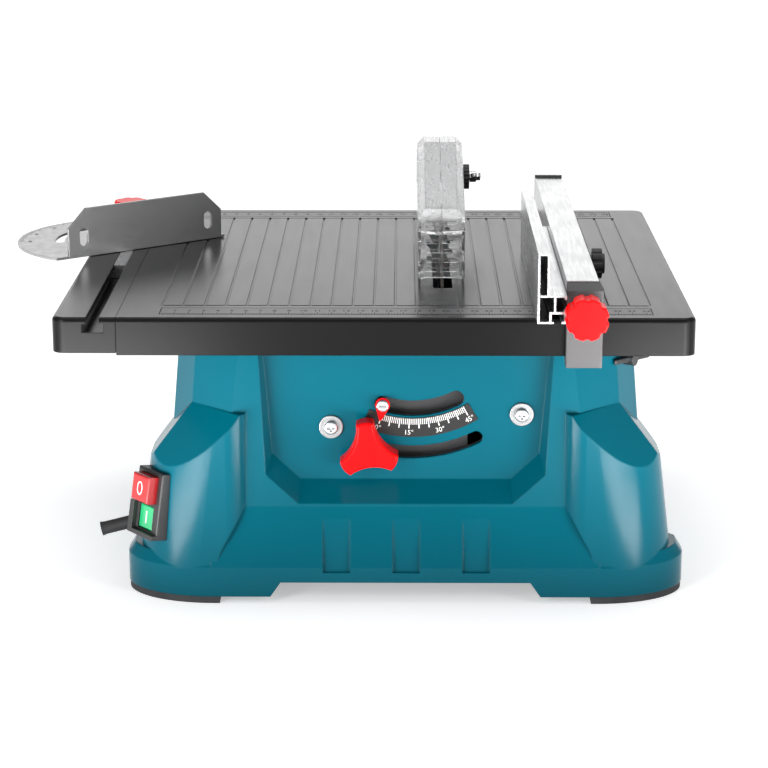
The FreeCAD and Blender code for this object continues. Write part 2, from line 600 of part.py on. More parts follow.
def make_motor():
    axis_at = V(0, BLADE_Y, BLADE_Z)
    def at(x):
        return V(x, axis_at.y, axis_at.z)
    left, right = MOTOR_LEFT, MOTOR_RIGHT
    shell = tube(at(left + 14), X_AXIS, MOTOR_R, MOTOR_R - 3, right - left - 15)
    face = tube(at(right - 4), X_AXIS, MOTOR_R, 13.0 + RUN_GAP, 4)
    boss = tube(at(right - 1), X_AXIS, 15.5, 13.0 + RUN_GAP, 3.0)
    fins = []
    for k in range(24):
        a = 15.0 * k
        fin = box(left + 18, right - 6, -1.0, 1.0, MOTOR_R - 2.0, MOTOR_R + 1.6)
        fin.translate(V(0, axis_at.y, axis_at.z))
        fin.rotate(axis_at, X_AXIS, a)
        fins.append(fin)
    nodes["motor_shell"] = fuse([shell, face, boss] + fins)
    cap = rod(at(left), X_AXIS, MOTOR_R - 1, 14)
    cap = fillet_some(cap, 5, lambda e: e.CenterOfMass.x < left + 0.01)
    hollow = rod(at(left + 3), X_AXIS, MOTOR_R - 4, 12)
    seat = tube(at(left + 3), X_AXIS, 15.0, 11.0 + RUN_GAP, 10)
    slots = []
    for k in range(12):
        s = box(left - 1, left + 5, -2, 2, 20, 34)
        s.translate(V(0, axis_at.y, axis_at.z))
        s.rotate(axis_at, X_AXIS, 30 * k)
        slots.append(s)
    nodes["motor_end_cap"] = fuse([cap.cut(hollow), seat]).cut(slots)
    nodes["stator_core"] = tube(at(-44), X_AXIS, MOTOR_R - 3, 25.0, 34)
    nodes["stator_windings"] = Part.Compound([
        fillet_some(tube(at(-53), X_AXIS, 38, 27, 9), 2, lambda e: True),
        fillet_some(tube(at(-10), X_AXIS, 38, 27, 9), 2, lambda e: True),
    ])
    nodes["motor_bearings"] = Part.Compound([
        tube(at(right - 4), X_AXIS, 13.0, SHAFT_R + RUN_GAP, 7),
        tube(at(left + 4), X_AXIS, 11.0, SHAFT_R + RUN_GAP, 7),
    ])

    # rotor: turns with the blade
    shaft = rod(at(left + 3.5), X_AXIS, SHAFT_R, 39.0 - left - 3.5)
    nodes["motor_shaft"] = shaft
    nodes["rotor_core"] = tube(at(-46), X_AXIS, 24.4, SHAFT_R, 38)
    blades = []
    for k in range(10):
        b = box(left + 14, left + 21, -0.8, 0.8, 9, 36)
        b.translate(V(0, axis_at.y, axis_at.z))
        b.rotate(axis_at, X_AXIS, 36 * k)
        blades.append(b)
    hub = tube(at(left + 13), X_AXIS, 10, SHAFT_R, 10)
    disc = tube(at(left + 20.5), X_AXIS, 36, SHAFT_R, 1.5)
    nodes["cooling_fan"] = fuse([hub, disc] + blades)
    half = 0.9
    disc = tube(at(BLADE_X - half - 6), X_AXIS, 24, SHAFT_R, 6)
    pilot = tube(at(BLADE_X - half), X_AXIS, BORE_R - 0.05, SHAFT_R, 1.6)
    nodes["inner_flange"] = fuse([disc, pilot])
    flange_out = tube(at(BLADE_X + half), X_AXIS, 24, SHAFT_R, 4)
    front = BLADE_X + half + 3.9
    rim = [e for e in flange_out.Edges if e.CenterOfMass.x > front and e.Length > 100]
    nodes["outer_flange"] = flange_out.makeFillet(0.8, rim)
    nut = hexagon(at(BLADE_X + half + 4), X_AXIS, 19, 6)
    nodes["arbor_nut"] = nut.cut(rod(at(BLADE_X), X_AXIS, SHAFT_R, 40))
    core = tube(at(BLADE_X - half), X_AXIS, BLADE_R - 7, BORE_R, 2 * half)
    holes = []
    for k in range(6):
        h = rod(V(0, axis_at.y, axis_at.z + 58), X_AXIS, 5, 60)
        h.rotate(axis_at, X_AXIS, 60 * k)
        holes.append(h)
    nodes["blade_core"] = core.cut(holes)
    nodes["blade_rim"] = tube(at(BLADE_X - 1.1), X_AXIS, BLADE_R, BLADE_R - 7, 2.2)


GUARD_BOLT_Y, GUARD_BOLT_Z = 95.0, 263.0
GUARD_X0, GUARD_X1 = 9.0, 43.4


def make_knife():
    """Riving knife: a plate in the blade's plane, bolted to the carrier, which holds the guard."""
    half = 1.0
    inner = [(108.6, 150), (108.3, 165), (104.5, 185), (99, 200.5), (92, 213.5), (90, 222), (88, 240),
             (84, 262), (84, 272)]
    outer = [(97, 276), (106, 268), (112, 255), (113, 236), (120, 215), (127, 190), (128, 150)]
    plate = prism_x(inner + outer, BLADE_X - half, BLADE_X + half)
    foot = box(WEB_X1, BLADE_X - half, 110, 126, 152, 176)
    hole = rod(V(0, GUARD_BOLT_Y, GUARD_BOLT_Z), X_AXIS, 3.1, 60)
    nodes["riving_knife"] = fuse([plate, foot]).cut(hole)
    screws = []
    for z in (158, 170):
        head = rod(V(BLADE_X + half, 118, z), X_AXIS, 4.0, 2.5)
        screws.append(fillet_some(head, 1.0, lambda e: e.CenterOfMass.x > BLADE_X + half + 2.4))
    nodes["knife_screws"] = Part.Compound(screws)


def guard_outline(inset):
    """Side view of the guard, as (y, z), shrunk by inset. Its bottom is open."""
    i = inset
    low = TABLE_TOP + 3.0 - (20 if inset else 0)
    front, rear_low = i * 2.5, 210 if inset else 240
    return [
        (-86 + front, low), (-84 + front, 271 - i * 0.25), (6, 300 - i), (22, 303 - i), (48, 303 - i),
        (88, 292.5 - i), (112 - i, 275 - i), (120 - i, 250), (118 - i, rear_low), (86, low),
    ]


def bevelled_guard(inset, bevel):
    """The guard's prism, with bevels along both sides of its roof."""
    shape = prism_x(guard_outline(inset), GUARD_X0 + inset, GUARD_X1 - inset)
    return chamfer_some(shape, bevel, lambda e: e.CenterOfMass.z > 258 and 8 < e.Length < 100
                        and abs(e.tangentAt(e.FirstParameter).x) < 0.1)


def make_guard():
    wall = 2.0
    mid = (GUARD_X0 + GUARD_X1) / 2
    shell = bevelled_guard(0, 5.0).cut(bevelled_guard(wall, 4.2))
    slots = ((288, 292), (279.5, 284), (266, 275))
    tools = [box(GUARD_X0 - 5, GUARD_X1 + 5, 20, 62, z0, z1) for z0, z1 in slots]
    tools.append(box(GUARD_X0 + 4.2, GUARD_X1 - 4.2, -95, -82.8, 210, 256))
    tools.append(rod(V(mid, -95, 256), Y_AXIS, mid - GUARD_X0 - 4.2, 12.2))
    tools.append(box(BLADE_X - 2.5, BLADE_X + 2.5, 84, 140, 200, 270))
    tools.append(rod(V(0, GUARD_BOLT_Y, GUARD_BOLT_Z), X_AXIS, 3.1, 80))
    tools.append(rod(V(GUARD_X0 - 1, GUARD_BOLT_Y, GUARD_BOLT_Z), X_AXIS, 6.3, 3.2))
    ribs = [box(GUARD_X0 + 6, GUARD_X1 - 6, -84.6, -82.5, z, z + 2.6) for z in range(224, 262, 7)]
    shell = fuse([shell.cut(tools)] + ribs)
    seam = 0.15
    left_half = box(-50, mid - seam, -120, 160, 180, 330)
    right_half = box(mid + seam, 90, -120, 160, 180, 330)
    nodes["guard_left"] = shell.common(left_half)
    nodes["guard_right"] = shell.common(right_half)
    at = V(0, GUARD_BOLT_Y, GUARD_BOLT_Z)
    def bolt_at(x):
        return V(x, at.y, at.z)
    nodes["guard_bolt"] = fuse([
        rod(bolt_at(GUARD_X0 + 0.3), X_AXIS, 6.0, 2.0),
        rod(bolt_at(GUARD_X0 + 0.3), X_AXIS, 3.0, 59.7 - GUARD_X0),
        tube(bolt_at(GUARD_X0 + 2.3), X_AXIS, 5.0, 3.0, BLADE_X - 1.3 - GUARD_X0 - 2.3),
        tube(bolt_at(BLADE_X + 1.3), X_AXIS, 5.0, 3.0, GUARD_X1 - 2 - BLADE_X - 1.3),
    ])
    knurl = rod(bolt_at(46.4), X_AXIS, 9.9, 4.7)
    collar = rod(bolt_at(GUARD_X1 + 0.2), X_AXIS, 7.0, 4.0)
    notches = []
    for k in range(18):
        n = rod(V(46.2, at.y, at.z + 10.6), X_AXIS, 1.2, 8)
        n.rotate(at, X_AXIS, 20 * k)
        notches.append(n)
    nodes["guard_washer"] = fuse([knurl, collar]).cut(notches + [rod(bolt_at(0), X_AXIS, 3.0, 80)])
    hub = rod(bolt_at(51.5), X_AXIS, 4.4, 5.5)
    hub = fillet_some(hub, 1.3, lambda e: e.CenterOfMass.x > 56.9)
    ears = []
    for turn in (72, 252):
        ear = rod(V(56.4, at.y - 1.5, at.z + 7.0), Y_AXIS, 4.0, 3.0)
        neck = box(53.2, 58.6, at.y - 1.5, at.y + 1.5, at.z + 3.6, at.z + 7)
        wing = fuse([ear, neck])
        wing.rotate(at, X_AXIS, turn)
        ears.append(wing)
    bore = rod(bolt_at(40), X_AXIS, 3.0 + RUN_GAP, 30)
    nodes["guard_wing_nut"] = fuse([hub] + ears).cut(bore)


# ---- rip fence ----
FENCE_KNOB_X, FENCE_KNOB_Z = 122.9, 222.8
FACE_BOLT_Y, FACE_BOLT_Z = -82.0, 230.0
RAIL_END = 200.7           # half length of the rail
BRACKET_X0, BRACKET_X1 = 110.5, 135.5


def star_knob(centre, axis, radius, length, lobes, bite):
    """A round knob with scalloped edges."""
    body = rod(centre, axis, radius, length)
    side = V(0, 0, 1) if abs(axis.z) < 0.5 else V(1, 0, 0)
    tools = []
    for k in range(lobes):
        groove = rod(centre + side * (radius + bite * 0.55) - axis, axis, bite, length + 2)
        groove.rotate(centre, axis, 360.0 / lobes * k)
        tools.append(groove)
    return body.cut(tools)


def make_fence():
    top = TABLE_TOP + 27.3
    rail = box(FENCE_X0, FENCE_X1, -RAIL_END, RAIL_END, FENCE_BOTTOM, top)
    rail = fillet_some(rail, 0.8, lambda e: abs(e.tangentAt(e.FirstParameter).y) > 0.9)
    core = box(FENCE_X0 + 1.8, FENCE_X1 - 1.8, -RAIL_END - 1, RAIL_END + 1, FENCE_BOTTOM + 1.8, top - 1.8)
    bolt_hole = rod(V(80, FACE_BOLT_Y, FACE_BOLT_Z), X_AXIS, 3.3, 80)
    nodes["fence_rail"] = rail.cut([core, bolt_hole])

    # Both brackets reach under the table's aprons, so that the fence cannot lift off.
    inner = TABLE_HALF_Y + 0.6
    front = [(-RAIL_END, 240.6), (-202.4, 242.4), (-207.5, 237.5), (-207.5, 183), (-190.5, 183),
             (-190.5, 189.0), (-inner, 189.0), (-inner, FENCE_BOTTOM), (-RAIL_END, FENCE_BOTTOM)]
    bracket = prism_x(front, BRACKET_X0, BRACKET_X1)
    shoulder = prism_y([(131.5, 246), (137, 246), (137, 236)], -215, -195)
    bracket = bracket.cut([rod(V(FENCE_KNOB_X, -230, FENCE_KNOB_Z), Y_AXIS, 3.0 + RUN_GAP, 60), shoulder])
    nodes["fence_front_bracket"] = fillet_some(
        bracket, 0.8, lambda e: e.CenterOfMass.y < -207.4 and is_upright(e))
    rear = [(RAIL_END, 245.2), (204.0, 245.2), (206.5, 242.7), (206.5, 185), (191.5, 185), (191.5, 189.0),
            (inner, 189.0), (inner, FENCE_BOTTOM), (RAIL_END, FENCE_BOTTOM)]
    hook = prism_x(rear, FENCE_X0, FENCE_X1)
    nodes["fence_rear_hook"] = hook.cut(rod(V(FENCE_KNOB_X, 190, FENCE_KNOB_Z), Y_AXIS, 3.0 + RUN_GAP, 40))

    nodes["fence_tie_rod"] = rod(V(FENCE_KNOB_X, -224, FENCE_KNOB_Z), Y_AXIS, 3.0, 224 + 212)
    knob = star_knob(V(FENCE_KNOB_X, -217, FENCE_KNOB_Z), V(0, -1, 0), 14.8, 16.0, 8, 3.2)
    knob = fillet_some(knob, 1.2, lambda e: e.CenterOfMass.y < -232.9)
    hub = rod(V(FENCE_KNOB_X, -207.8, FENCE_KNOB_Z), V(0, -1, 0), 8.0, 10.0)
    bore = rod(V(FENCE_KNOB_X, -200, FENCE_KNOB_Z), V(0, -1, 0), 3.0 + RUN_GAP, 24.5)
    nodes["fence_knob"] = fuse([knob, hub]).cut(bore)

    # Face extrusion: a low box with two T-slots, and a tall narrow hollow wall on its left.
    y0, y1 = -216.0, 25.0
    bottom, low_top, high_top = FENCE_BOTTOM, FENCE_BOTTOM + 20, FENCE_BOTTOM + 49
    wall = 1.5
    xa, xb = FACE_X0, FACE_X1
    xd = xa + 12.7
    blank = fuse([box(xa, xb, y0, y1, bottom, low_top), box(xa, xa + 8, y0, y1, low_top - 1, high_top)])
    chambers = [
        box(xa + wall, xa + 8 - wall, y0 - 1, y1 + 1, low_top, high_top - wall),
        box(xa + wall, xd - wall, y0 - 1, y1 + 1, bottom + 8.5, low_top - wall),
        box(xa + wall, xa + 8.2, y0 - 1, y1 + 1, bottom + wall, bottom + 8.5),
        box(xa + 9.7, xb - wall, y0 - 1, y1 + 1, bottom + wall, bottom + 6.8),
        box(xa + 11.2, xb - 3.4, y0 - 1, y1 + 1, bottom - 1, bottom + 3),
        box(xd, xb - wall, y0 - 1, y1 + 1, bottom + 8.5, low_top - wall),
        box(xd, xb + 1, y0 - 1, y1 + 1, bottom + 10.4, bottom + 17.0),
    ]
    nodes["fence_face"] = blank.cut(chambers)

    head_y0, head_y1 = FACE_BOLT_Y - 4.5, FACE_BOLT_Y + 4.5
    head = box(xb - 5.2, xb - 2.0, head_y0, head_y1, FACE_BOLT_Z - 4.4, FACE_BOLT_Z + 4.0)
    bolt = rod(V(xb - 3, FACE_BOLT_Y, FACE_BOLT_Z), X_AXIS, 2.9, 141.0 - xb + 3)
    nodes["face_bolt"] = fuse([head, bolt])
    centre = V(FENCE_X1 + 4.2, FACE_BOLT_Y, FACE_BOLT_Z)
    grip = star_knob(centre, X_AXIS, 11.0, 7.0, 10, 2.2)
    collar = rod(centre + V(-3.9, 0, 0), X_AXIS, 6.5, 5.0)
    step = rod(centre + V(6.5, 0, 0), X_AXIS, 7.5, 2.5)
    bore = rod(V(100, FACE_BOLT_Y, FACE_BOLT_Z), X_AXIS, 2.9 + RUN_GAP, 41.5)
    nodes["face_knob"] = fuse([grip, collar, step]).cut(bore)


# ---- mitre gauge ----
def mitre_place(shape):
    """Moves a shape drawn about the pivot, square to the table, to its parked place."""
    placed = shape.copy()
    placed.rotate(V(0, 0, 0), Z_AXIS, MITRE_ANGLE)
    placed.translate(V(MITRE_X, MITRE_Y, 0))
    return placed


def make_mitre():
    top = TABLE_TOP
    gap = 0.3
    bar = fuse([
        box(MITRE_X - 4.8 + gap, MITRE_X + 4.8 - gap, -25.5, 176, top - 9, top),
        box(MITRE_X - 7.6 + gap, MITRE_X + 7.6 - gap, -25.5, 176, top - 10.1, top - 4.7),
    ])
    stud = rod(V(MITRE_X, MITRE_Y, top - 1), Z_AXIS, 3.0, 32)
    nodes["mitre_bar"] = bar.cut(rod(V(MITRE_X, MITRE_Y, top - 3), Z_AXIS, 3.0, 10))
    nodes["mitre_stud"] = stud

    # Bent sheet: a protractor disc with an arc slot, and an upright plate along its front.
    sheet, front = 2.0, -28.6
    z0 = top + 0.4
    left_u, right_u, height = -74.0, 66.0, 38.0
    disc = rod(V(0, 0, z0), Z_AXIS, MITRE_R, sheet)
    keep = box(-120, right_u + 3, front, 120, z0 - 1, z0 + sheet + 1)
    disc = disc.common(keep)
    slot_r, slot_half = 57.0, 3.6
    def ring(r, a):
        return V(r * math.cos(math.radians(a)), r * math.sin(math.radians(a)), z0 - 1)
    a0, a1 = 60.0, 154.0
    cap = math.degrees(slot_half / slot_r)
    edges = [
        Part.Arc(ring(slot_r + slot_half, a0), ring(slot_r + slot_half, 107), ring(slot_r + slot_half, a1)),
        Part.Arc(ring(slot_r + slot_half, a1), ring(slot_r, a1 + cap), ring(slot_r - slot_half, a1)),
        Part.Arc(ring(slot_r - slot_half, a1), ring(slot_r - slot_half, 107), ring(slot_r - slot_half, a0)),
        Part.Arc(ring(slot_r - slot_half, a0), ring(slot_r, a0 - cap), ring(slot_r + slot_half, a0)),
    ]
    slot = Part.Face(Part.Wire([e.toShape() for e in edges])).extrude(V(0, 0, sheet + 4))
    shoulder = z0 + height - 15
    plate = prism([V(left_u, front, z0), V(right_u, front, z0), V(right_u, front, shoulder),
                   V(right_u - 16, front, z0 + height), V(left_u + 16, front, z0 + height),
                   V(left_u, front, shoulder)], V(0, sheet, 0))
    holes = []
    hole_r, low, high = 3.7, z0 + 12.2, z0 + 18.8
    for u in (left_u + 13.6, right_u - 12.5):
        holes.append(box(u - hole_r, u + hole_r, front - 2, front + 5, low, high))
        holes.append(rod(V(u, front - 2, low), Y_AXIS, hole_r, 7))
        holes.append(rod(V(u, front - 2, high), Y_AXIS, hole_r, 7))
    pivot_hole = rod(V(0, 0, z0 - 1), Z_AXIS, 3.0 + RUN_GAP, 5)
    head = fuse([disc.cut([slot, pivot_hole]), plate.cut(holes)])
    nodes["mitre_head"] = mitre_place(head)

    base_z = z0 + sheet + 0.2
    hub = rod(V(MITRE_X, MITRE_Y, base_z), Z_AXIS, 8.0, 14)
    grip = star_knob(V(MITRE_X, MITRE_Y, base_z + 12), Z_AXIS, 13.2, 19, 8, 3.0)
    grip = fillet_some(grip, 1.2, lambda e: e.CenterOfMass.z > base_z + 30.9)
    knob = fuse([hub, grip]).cut(rod(V(MITRE_X, MITRE_Y, base_z - 1), Z_AXIS, 3.0 + RUN_GAP, 30.5))
    nodes["mitre_knob"] = knob


# ---- build and export ----
def build():
    switch_hole = make_switch()
    nodes["base_housing"] = make_housing(switch_hole)
    make_sleeve()
    make_feet()
    make_table()
    make_trunnions()
    make_side_fittings()
    make_tray()
    make_carrier()
    make_tilt_knob()
    make_motor()
    make_knife()
    make_guard()
    make_fence()
    make_mitre()


def export():
    os.makedirs("parts", exist_ok=True)
    bounds = FreeCAD.BoundBox()
    for shape in nodes.values():
        bounds.add(shape.optimalBoundingBox(False, False))
    shift = V(-bounds.Center.x, -bounds.Center.y, -bounds.ZMin)
    print("shift", tuple(round(c, 4) for c in shift), "size", bounds.XLength, bounds.YLength, bounds.ZLength)
    for name in sorted(nodes):
        shape = nodes[name].copy()
        shape.translate(shift)
        shape.exportStep("parts/" + name + ".step")
        state = "" if shape.isValid() else "INVALID"
        print(name, len(shape.Solids), round(shape.Volume / 1000, 2), "cm3", state)
    print(len(nodes), "nodes")


build()
export()
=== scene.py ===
"""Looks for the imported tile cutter: procedural materials, printed scales, a floor, lights and a camera."""
import math

import bpy
from mathutils import Matrix, Vector


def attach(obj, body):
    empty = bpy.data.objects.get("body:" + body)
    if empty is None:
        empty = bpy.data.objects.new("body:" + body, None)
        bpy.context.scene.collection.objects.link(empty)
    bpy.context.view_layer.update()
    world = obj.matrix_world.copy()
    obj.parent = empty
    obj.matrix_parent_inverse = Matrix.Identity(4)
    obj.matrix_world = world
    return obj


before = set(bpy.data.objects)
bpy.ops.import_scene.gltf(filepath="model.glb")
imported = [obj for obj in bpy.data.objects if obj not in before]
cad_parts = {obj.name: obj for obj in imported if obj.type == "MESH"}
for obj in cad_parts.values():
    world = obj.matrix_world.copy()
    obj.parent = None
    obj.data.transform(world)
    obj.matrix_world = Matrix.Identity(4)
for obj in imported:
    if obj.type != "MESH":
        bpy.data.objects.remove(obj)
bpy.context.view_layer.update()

MM = 0.001
BASE_X, BASE_Y = 52.0, 10.5   # the middle of the base in the row frame, in mm
TABLE_TOP = 216.0
PIVOT_X, PIVOT_Z = 5.0, 207.5  # tilt axis
PANEL_Y = 152.0
SCALE_FACE_Y = -PANEL_Y - 0.8
MITRE_X, MITRE_Y, MITRE_ANGLE = -217.5, 62.0, 37.7
MITRE_FACE_Z = TABLE_TOP + 2.4
SWITCH_AT, SWITCH_TURN, SWITCH_LEAN = (-186.5, -162.0, 70.0), 38.7, 9.4
PRINT_LIFT = 0.06              # height of printed marks above their surface
RULER_HALF = 172.0             # half the length of a ruler
RULER_STEP = 2.0               # pitch of its marks
SCALE_START = -16.8            # the angle scale's zero, in degrees from straight down
SCALE_INNER = 76.7             # radius at which its marks start
SCALE_TEXT = 87.0              # radius of its numbers
PROTRACTOR_R = 88.6            # radius at which the mitre marks start
PROTRACTOR_TEXT = 80.3         # radius of the mitre numbers
PROTRACTOR_SPAN = 60           # its marks run this many degrees each way
HOOD_LOW, HOOD_HIGH = 0.258, 0.268   # heights in m between which the guard turns from clear to milky


def at(x, y, z):
    """A point given in mm about the middle of the base, in the row frame in metres."""
    return Vector(((x + BASE_X) * MM, (y + BASE_Y) * MM, z * MM))


# ---- node material tools ----
class Mat:
    """A Principled material and short ways to add nodes to it."""

    def __init__(self, name, **values):
        self.mat = bpy.data.materials.new(name)
        self.mat.use_nodes = True
        self.tree = self.mat.node_tree
        self.bsdf = self.tree.nodes["Principled BSDF"]
        self.coords = self.tree.nodes.new("ShaderNodeTexCoord").outputs["Object"]
        for key, value in values.items():
            self.bsdf.inputs[key.replace("_", " ")].default_value = value

    def add(self, kind, **settings):
        """A new node of this kind, with its settings."""
        node = self.tree.nodes.new(kind)
        for key, value in settings.items():
            setattr(node, key, value)
        return node

    def link(self, a, b):
        self.tree.links.new(a, b)

    def stretched(self, stretch):
        """Object coordinates multiplied by a vector, so that a grain can run along one axis."""
        mapping = self.add("ShaderNodeMapping")
        mapping.inputs["Scale"].default_value = stretch
        self.link(self.coords, mapping.inputs["Vector"])
        return mapping.outputs["Vector"]

    def noise(self, scale, detail=3.0, stretch=None, rough=0.5):
        """A noise value over the object, with an optional stretch."""
        node = self.add("ShaderNodeTexNoise")
        node.inputs["Scale"].default_value = scale
        node.inputs["Detail"].default_value = detail
        node.inputs["Roughness"].default_value = rough
        self.link(self.stretched(stretch) if stretch else self.coords, node.inputs["Vector"])
        return node.outputs["Fac"]

    def span(self, source, low, high, start=0.3, end=0.7):
        """Maps a 0 to 1 value to a range."""
        node = self.add("ShaderNodeMapRange")
        for key, value in (("From Min", start), ("From Max", end), ("To Min", low), ("To Max", high)):
            node.inputs[key].default_value = value
        self.link(source, node.inputs["Value"])
        return node.outputs["Result"]

    def colours(self, source, stops):
        """A colour ramp over the source, from stops of (place, colour)."""
        node = self.add("ShaderNodeValToRGB")
        ramp = node.color_ramp
        while len(ramp.elements) < len(stops):
            ramp.elements.new(0.5)
        for element, (place, colour) in zip(ramp.elements, stops):
            element.position = place
            element.color = (*colour, 1.0)
        self.link(source, node.inputs["Fac"])
        return node.outputs["Color"]

    def join(self, a, b, kind="ADD"):
        """Adds, multiplies or otherwise combines two values; b may be a number."""
        node = self.add("ShaderNodeMath", operation=kind)
        self.link(a, node.inputs[0])
        if isinstance(b, (int, float)):
            node.inputs[1].default_value = b
        else:
            self.link(b, node.inputs[1])
        return node.outputs[0]

    def bump(self, heights, edge=0.0):
        """Chains bumps of (height, distance in mm) over an optional rounded edge."""
        normal = None
        if edge:
            bevel = self.add("ShaderNodeBevel", samples=4)
            bevel.inputs["Radius"].default_value = edge * MM
            normal = bevel.outputs["Normal"]
        for height, distance in heights:
            node = self.add("ShaderNodeBump")
            node.inputs["Distance"].default_value = distance * MM
            node.inputs["Strength"].default_value = 1.0
            self.link(height, node.inputs["Height"])
            if normal is not None:
                self.link(normal, node.inputs["Normal"])
            normal = node.outputs["Normal"]
        if normal is not None:
            self.link(normal, self.bsdf.inputs["Normal"])

    def set(self, key, source):
        self.link(source, self.bsdf.inputs[key])


def shade(colour, factor):
    """A colour made lighter or darker."""
    return tuple(min(1.0, c * factor) for c in colour)


def moulded(name, colour, rough=0.3, grain=0.02, coat=0.0, edge=0.8, mottle=0.06, specular=0.5):
    """Injection-moulded plastic: faint colour drift, flow lines and a fine skin."""
    m = Mat(name, Specular_IOR_Level=specular, Coat_Weight=coat, Coat_Roughness=0.06)
    drift = m.noise(9.0, 4.0)
    tones = [(0.3, shade(colour, 1 - mottle)), (0.7, shade(colour, 1 + mottle))]
    m.set("Base Color", m.colours(drift, tones))
    skin = m.noise(1400.0, 2.0)
    smears = m.noise(55.0, 5.0, (1.0, 1.0, 0.35))
    m.set("Roughness", m.span(m.join(skin, smears, "MULTIPLY"), rough * 0.85, rough * 1.2, 0.12, 0.4))
    m.bump([(m.noise(35.0, 2.0), 0.05), (skin, grain)], edge)
    return m.mat


def powder_coat(name, colour, rough=0.4, edge=0.8, peel=0.03, wear=0.1, specular=0.5, scuff=0.2):
    """Satin powder coat: orange peel, with dust and rubbed places."""
    m = Mat(name, Specular_IOR_Level=specular)
    rubbed = m.noise(7.0, 6.0, rough=0.6)
    tones = [(0.25, shade(colour, 1 - wear)), (0.75, shade(colour, 1 + wear))]
    m.set("Base Color", m.colours(rubbed, tones))
    peel_height = m.noise(900.0, 2.0)
    scuffs = m.noise(120.0, 5.0, (1.0, 0.12, 1.0))
    marks = m.join(rubbed, scuffs, "MULTIPLY")
    m.set("Roughness", m.span(marks, rough * (1 - scuff), rough * (1 + scuff), 0.15, 0.4))
    m.bump([(peel_height, peel), (scuffs, 0.03 * scuff)], edge)
    return m.mat


def metal(name, colour, rough=0.3, grain=(1.0, 1.0, 1.0), depth=0.006, edge=0.3, tarnish=0.1,
          grain_scale=900.0):
    """Bare metal with a grain: the axis with the small stretch is the way the grain runs."""
    m = Mat(name, Metallic=1.0)
    stain = m.noise(14.0, 5.0, rough=0.6)
    tones = [(0.3, shade(colour, 1 - tarnish)), (0.7, shade(colour, 1 + tarnish * 0.5))]
    m.set("Base Color", m.colours(stain, tones))
    lines = m.noise(grain_scale, 3.0, grain)
    m.set("Roughness", m.span(m.join(lines, stain), rough * 0.7, rough * 1.3, 0.7, 1.3))
    m.bump([(lines, depth)], edge)
    return m.mat


def rubber(name, colour=(0.025, 0.025, 0.027), rough=0.75):
    """Matt rubber with dust in its skin."""
    m = Mat(name, Specular_IOR_Level=0.35)
    dust = m.noise(60.0, 5.0)
    m.set("Base Color", m.colours(dust, [(0.35, colour), (0.75, shade(colour, 1.7))]))
    m.set("Roughness", m.span(dust, rough * 0.9, rough * 1.1))
    m.bump([(m.noise(1100.0, 3.0), 0.05)], 0.5)
    return m.mat


def clear_plastic(name):
    """Moulded polycarbonate: a milky hood, and clear wavy skirts below the nose's arch."""
    m = Mat(name, IOR=1.45, Specular_IOR_Level=0.5)
    split = m.add("ShaderNodeSeparateXYZ")
    m.link(m.coords, split.inputs[0])
    hood = m.span(split.outputs["Z"], 0.0, 1.0, HOOD_LOW, HOOD_HIGH)
    m.set("Transmission Weight", m.span(hood, 0.96, 0.62, 0.0, 1.0))
    scratches = m.noise(500.0, 2.0, (1.0, 0.05, 0.6))
    m.set("Roughness", m.join(m.span(hood, 0.03, 0.24, 0.0, 1.0), m.span(scratches, 0.0, 0.05)))
    m.set("Base Color", m.colours(hood, [(0.1, (0.975, 0.98, 0.98)), (0.9, (0.93, 0.935, 0.94))]))
    wave = m.add("ShaderNodeTexWave", wave_type="BANDS", bands_direction="Z")
    wave.inputs["Scale"].default_value = 21.0
    wave.inputs["Distortion"].default_value = 3.0
    wave.inputs["Detail Scale"].default_value = 2.0
    m.link(m.coords, wave.inputs["Vector"])
    ripple = m.join(wave.outputs["Fac"], m.span(hood, 1.0, 0.04, 0.0, 1.0), "MULTIPLY")
    m.bump([(ripple, 1.2), (m.noise(26.0, 2.0), 0.1), (scratches, 0.004)], 0.6)
    return m.mat


def laminated(name, colour, pitch=0.5):
    """Stacked sheet steel: bands across the shaft's axis."""
    m = Mat(name, Metallic=1.0)
    wave = m.add("ShaderNodeTexWave", wave_type="BANDS", bands_direction="X")
    wave.inputs["Scale"].default_value = 1000.0 / pitch / (2 * math.pi)
    wave.inputs["Distortion"].default_value = 0.4
    m.link(m.coords, wave.inputs["Vector"])
    bands = wave.outputs["Fac"]
    m.set("Base Color", m.colours(bands, [(0.2, shade(colour, 0.6)), (0.8, colour)]))
    m.set("Roughness", m.span(m.noise(200.0), 0.35, 0.55))
    m.bump([(bands, 0.08)])
    return m.mat


def windings(name):
    """Enamelled copper wire, wound in rings."""
    m = Mat(name, Metallic=1.0)
    wave = m.add("ShaderNodeTexWave", wave_type="RINGS", rings_direction="X")
    wave.inputs["Scale"].default_value = 190.0
    wave.inputs["Distortion"].default_value = 2.0
    m.link(m.coords, wave.inputs["Vector"])
    wires = wave.outputs["Fac"]
    m.set("Base Color", m.colours(wires, [(0.1, (0.20, 0.07, 0.02)), (0.8, (0.80, 0.36, 0.16))]))
    m.set("Roughness", m.span(m.noise(300.0), 0.25, 0.45))
    m.bump([(wires, 0.3)])
    return m.mat


def printed(name, colour, rough=0.5, specular=0.5):
    """Screen-printed ink with slightly uneven cover."""
    m = Mat(name, Specular_IOR_Level=specular)
    cover = m.noise(700.0, 3.0)
    m.set("Base Color", m.colours(cover, [(0.25, shade(colour, 0.82)), (0.6, colour)]))
    m.set("Roughness", m.span(cover, rough * 0.9, rough * 1.1))
    return m.mat


